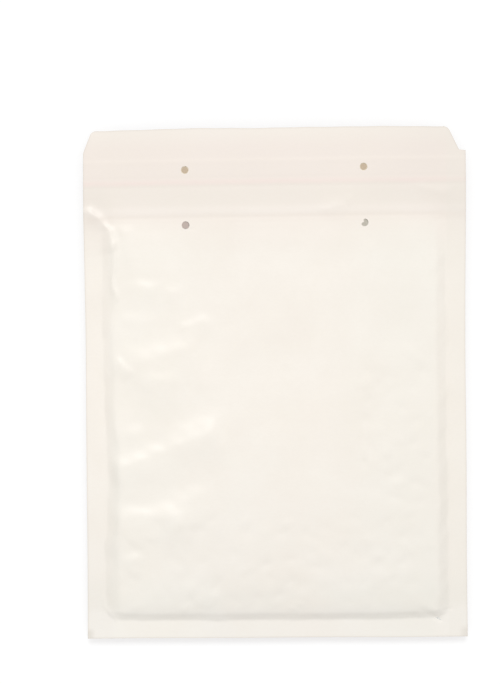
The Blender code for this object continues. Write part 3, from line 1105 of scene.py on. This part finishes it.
def make_lining(name, inner, outwards, top, material):
    """Bubble film: a flat film beside the pocket, with its bubbles towards the paper.

    inner is the pocket's side of it, and outwards is 1 for the front film and -1 for the back one.
    """
    across = stations(-HALF_WIDTH + FILM_MARGIN, HALF_WIDTH - FILM_MARGIN, (), FILM_SPACING)
    along = stations(PAD_BOTTOM - FILM_BELOW_PAD, top, (), FILM_SPACING)

    def place(x, y):
        ragged = FILM_RAGGED * np.sin(x * 1.9) * (y > top - 0.1)
        return x, y + ragged, film_level(x, y, inner)

    form = grid_form(across, along, place)
    for centre in BACK_HOLES:
        punch_hole(form, centre, lambda x, y: film_level(x, y, inner), FILM_HOLE_RADIUS)
    piece = new_piece(name, form, material)
    thicken(piece, FILM, upwards=outwards > 0)
    add_bubbles(piece, inner, outwards, top)
    return piece


def floor_spots(nodes, centres, radius):
    """1 on the floor within a radius of the centres, and 0 elsewhere, with a short fade."""
    spots = 0.0
    for x, y in centres:
        inputs = {0: nodes.place(), 1: (x * MM, y * MM, 0.0)}
        away = nodes.add("ShaderNodeVectorMath", inputs, operation="DISTANCE").outputs["Value"]
        spot = nodes.spread(away, radius * MM, FLOOR_SPOT_FADE * radius * MM, 1.0, 0.0)
        spots = nodes.math("MAXIMUM", spot, spots)
    return spots


# The floor: its colour for light, its glow for the camera, and its dimmer glow under the mailer,
# which is a painted shadow, and straight under the holes, where the photograph has another mailer
# behind them: a tan painted shade of that mailer's paper.
FLOOR_COLOUR = (0.380, 0.400, 0.403, 1.0)
FLOOR_GLOW = (0.658, 0.638, 0.635, 1.0)
# Painted shadow under the mailer, and painted shade under the holes.
UNDER_SHADOW_GLOW = (0.47, 0.443, 0.437, 1.0)
HOLE_SHADE_GLOWS = (
    (POCKET_HOLES[:1], 2 * HOLE_RADIUS, (0.52, 0.43, 0.385, 1.0)),
    (POCKET_HOLES[1:], 2 * HOLE_RADIUS, (0.52, 0.485, 0.415, 1.0)),
    (FLOOR_SPOTS, FLOOR_SPOT_RADIUS, (0.54, 0.43, 0.31, 1.0)),
)
UNDER_MARGIN = 12.0
FLOOR_SIZE = 4.0
FLOOR_LEVEL = -0.0003


def floor_material():
    """White for the camera and for gloss, and a matt grey that takes the mailer's shadow. The glow
    is dimmer under the mailer and tan under the holes, as painted shadow and painted shade.
    """
    nodes = Nodes("floor")
    nodes.tree.nodes.remove(nodes.shader)
    path = nodes.add("ShaderNodeLightPath")
    seen = nodes.math("MAXIMUM", path.outputs["Is Camera Ray"], path.outputs["Is Glossy Ray"])
    seen = nodes.math("MAXIMUM", seen, path.outputs["Is Transmission Ray"])
    axes = nodes.add("ShaderNodeSeparateXYZ", {0: nodes.place()})
    reach = (HALF_WIDTH - UNDER_MARGIN) * MM
    along = ((BOTTOM + UNDER_MARGIN) * MM, (TOP - UNDER_MARGIN) * MM)
    tone = nodes.mix(nodes.area(axes, (-reach, reach), along, 0.004), FLOOR_GLOW, UNDER_SHADOW_GLOW)
    for centres, radius, glow in HOLE_SHADE_GLOWS:
        tone = nodes.mix(floor_spots(nodes, centres, radius), tone, glow)
    glowing = nodes.add("ShaderNodeEmission", {"Strength": seen, "Color": tone})
    matt = nodes.add("ShaderNodeBsdfDiffuse", {"Color": FLOOR_COLOUR})
    both = nodes.add("ShaderNodeAddShader", {0: glowing.outputs[0], 1: matt.outputs[0]})
    nodes.feed(nodes.tree.nodes["Material Output"].inputs["Surface"], both.outputs[0])
    return nodes.material


def make_floor():
    """A plain surface under the mailer."""
    form = bmesh.new()
    bmesh.ops.create_grid(form, x_segments=1, y_segments=1, size=FLOOR_SIZE)
    floor = new_piece("floor", form, floor_material())
    floor.location.z = FLOOR_LEVEL


# Soft light from all round, and a broad sun that slants in over the flap. The camera sees white.
WORLD_LIGHT = 0.715
WORLD_SEEN = 1.1
SUN_PLACE = (0.0, 0.70, 1.0)
SUN_STRENGTH = 0.37 * math.pi
SUN_SPREAD = 24.0


def make_sun():
    """The one lamp, which points at the mailer."""
    lamp = bpy.data.lights.new("key", "SUN")
    lamp.energy = SUN_STRENGTH
    lamp.angle = math.radians(SUN_SPREAD)
    light = bpy.data.objects.new("key", lamp)
    bpy.context.scene.collection.objects.link(light)
    light.location = SUN_PLACE
    light.rotation_euler = (-Vector(SUN_PLACE)).to_track_quat("-Z", "Y").to_euler()


def light_scene():
    """The soft light from all round, and the sun."""
    world = bpy.data.worlds.new("studio")
    bpy.context.scene.world = world
    world.use_nodes = True
    background = world.node_tree.nodes["Background"]
    background.inputs["Color"].default_value = (1.0, 1.0, 1.0, 1.0)
    tree = world.node_tree
    path = tree.nodes.new("ShaderNodeLightPath")
    strength = tree.nodes.new("ShaderNodeMapRange")
    strength.inputs["To Min"].default_value = WORLD_LIGHT
    strength.inputs["To Max"].default_value = WORLD_SEEN
    tree.links.new(path.outputs["Is Camera Ray"], strength.inputs["Value"])
    tree.links.new(strength.outputs[0], background.inputs["Strength"])
    make_sun()


# The camera looks straight down. The photograph has the mailer off centre and a little turned.
LENS = 85.0
SENSOR = 36.0
IMAGE_SIZE = (500, 684)
MAILER_WIDTH_PX = 382.0
MAILER_CENTRE_PX = (276.0, 382.6)
MAILER_TURN = math.radians(0.41)


def make_camera():
    """The camera over the mailer, as far away and as turned as in the photograph."""
    per_pixel = 2 * HALF_WIDTH * MM / MAILER_WIDTH_PX
    right = (IMAGE_SIZE[0] / 2 - MAILER_CENTRE_PX[0]) * per_pixel
    up = (MAILER_CENTRE_PX[1] - IMAGE_SIZE[1] / 2) * per_pixel
    x = right * math.cos(MAILER_TURN) + up * math.sin(MAILER_TURN)
    y = -right * math.sin(MAILER_TURN) + up * math.cos(MAILER_TURN)
    distance = IMAGE_SIZE[1] * per_pixel * LENS / SENSOR
    data = bpy.data.cameras.new("camera")
    data.lens = LENS
    data.sensor_width = SENSOR
    camera = bpy.data.objects.new("camera", data)
    bpy.context.scene.collection.objects.link(camera)
    camera.location = (x, y, distance + SEAM_MIDDLE * MM)
    camera.rotation_euler = (0.0, 0.0, -MAILER_TURN)
    bpy.context.scene.camera = camera


def settle(piece, slot, *nodes):
    """Fixes a piece to the mailer's one body, in place of the solids that it stands for."""
    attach(piece, "root")
    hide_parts(*nodes)


def make_mailer():
    """The seven pieces: two sheets of paper, two films, and three strips on the flap."""
    settle(make_front_paper(), "paper", "front_sheet")
    settle(make_back_paper(), "paper", "back_sheet")

    film = film_material()
    pocket_top, pocket_bottom = LINING_LOW.z, BACK_LINING_HIGH.z
    front_film = make_lining("front_bubble_film", pocket_top, 1, LINING_HIGH.y, film)
    back_film = make_lining("back_bubble_film", pocket_bottom, -1, BACK_LINING_HIGH.y, film)
    settle(front_film, "bubble_film", "front_lining")
    settle(back_film, "bubble_film", "back_lining")

    glue = flap_strip(
        "adhesive_strip_look", GLUE_STRIP, glue_material(), FLAP_HOLES, GLUE_HOLE_RADIUS,
    )
    liner = flap_strip("release_liner_look", LINER_STRIP, liner_material(), FLAP_HOLES)
    tape = flap_strip("tear_tape_look", TAPE_STRIP, tape_material())
    settle(glue, "adhesive", "adhesive_strip")
    settle(liner, "liner", "release_liner")
    settle(tape, "tape", "tear_tape")


bpy.context.scene.view_settings.view_transform = "Standard"

make_mailer()
make_floor()
light_scene()
make_camera()
